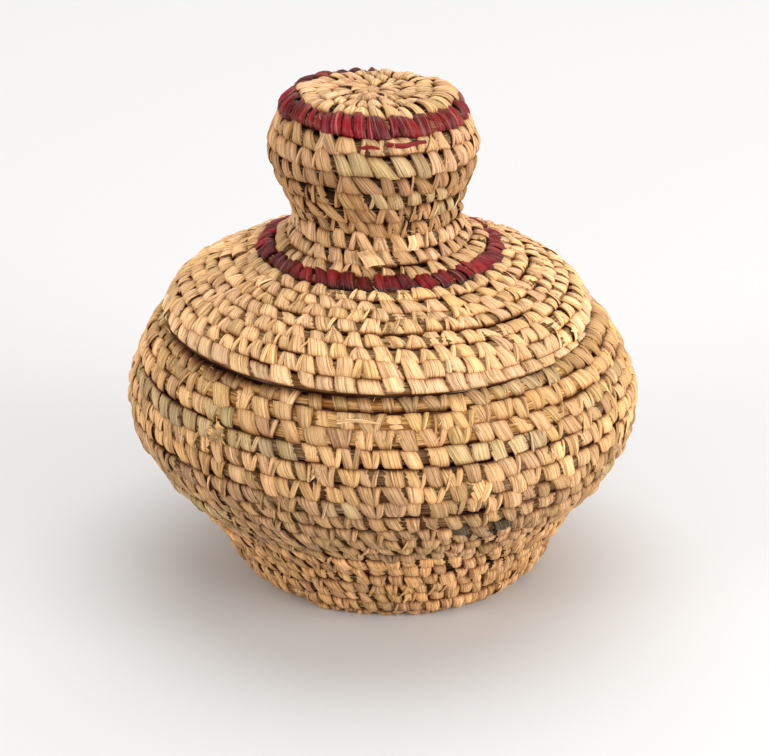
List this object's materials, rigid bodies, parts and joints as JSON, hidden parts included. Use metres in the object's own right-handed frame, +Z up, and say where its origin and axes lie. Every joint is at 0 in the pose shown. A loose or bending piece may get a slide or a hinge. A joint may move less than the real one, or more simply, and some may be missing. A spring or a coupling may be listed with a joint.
{
  "type": "lidded coiled basket",
  "caption": "Round lidded basket coiled from dried grass, with a narrow foot, a wide belly, a conical lid with a hollow knob, and red rows at the knob's edge and the neck.",
  "frame": {"origin": "on the surface that the basket stands on, below the middle of its widest row; the base lies 3 mm to the right, because the basket leans", "axes": "+Z up along the basket's axis, -Y towards the camera of the picture"},
  "size_m": [0.1498, 0.1498, 0.1467],
  "materials": {
    "straw": "dried grass stems bound in dull leaf strips",
    "red_strip": "dyed leaf strip with a slight sheen"
  },
  "bodies": {
    "basket": {"base_knot": "straw", "base_coil": "straw", "foot_coil": "straw", "flare_coil": "straw", "belly_coil": "straw", "widest_coil": "straw", "shoulder_coil": "straw", "mouth_coil": "straw"},
    "lid": {"knob_knot": "straw", "knob_top_coil": "straw", "crown_red_coil": "red_strip", "knob_coil": "straw", "neck_coil": "straw", "throat_coil": "straw", "collar_red_coil": "red_strip", "lid_cone_coil": "straw", "lid_rim_coil": "straw"}
  },
  "joints": [
    {"name": "lid_lift", "type": "slide", "parent": "basket", "child": "lid", "axis": [0, 0, 1], "range_m": [0, 0.12]}
  ]
}
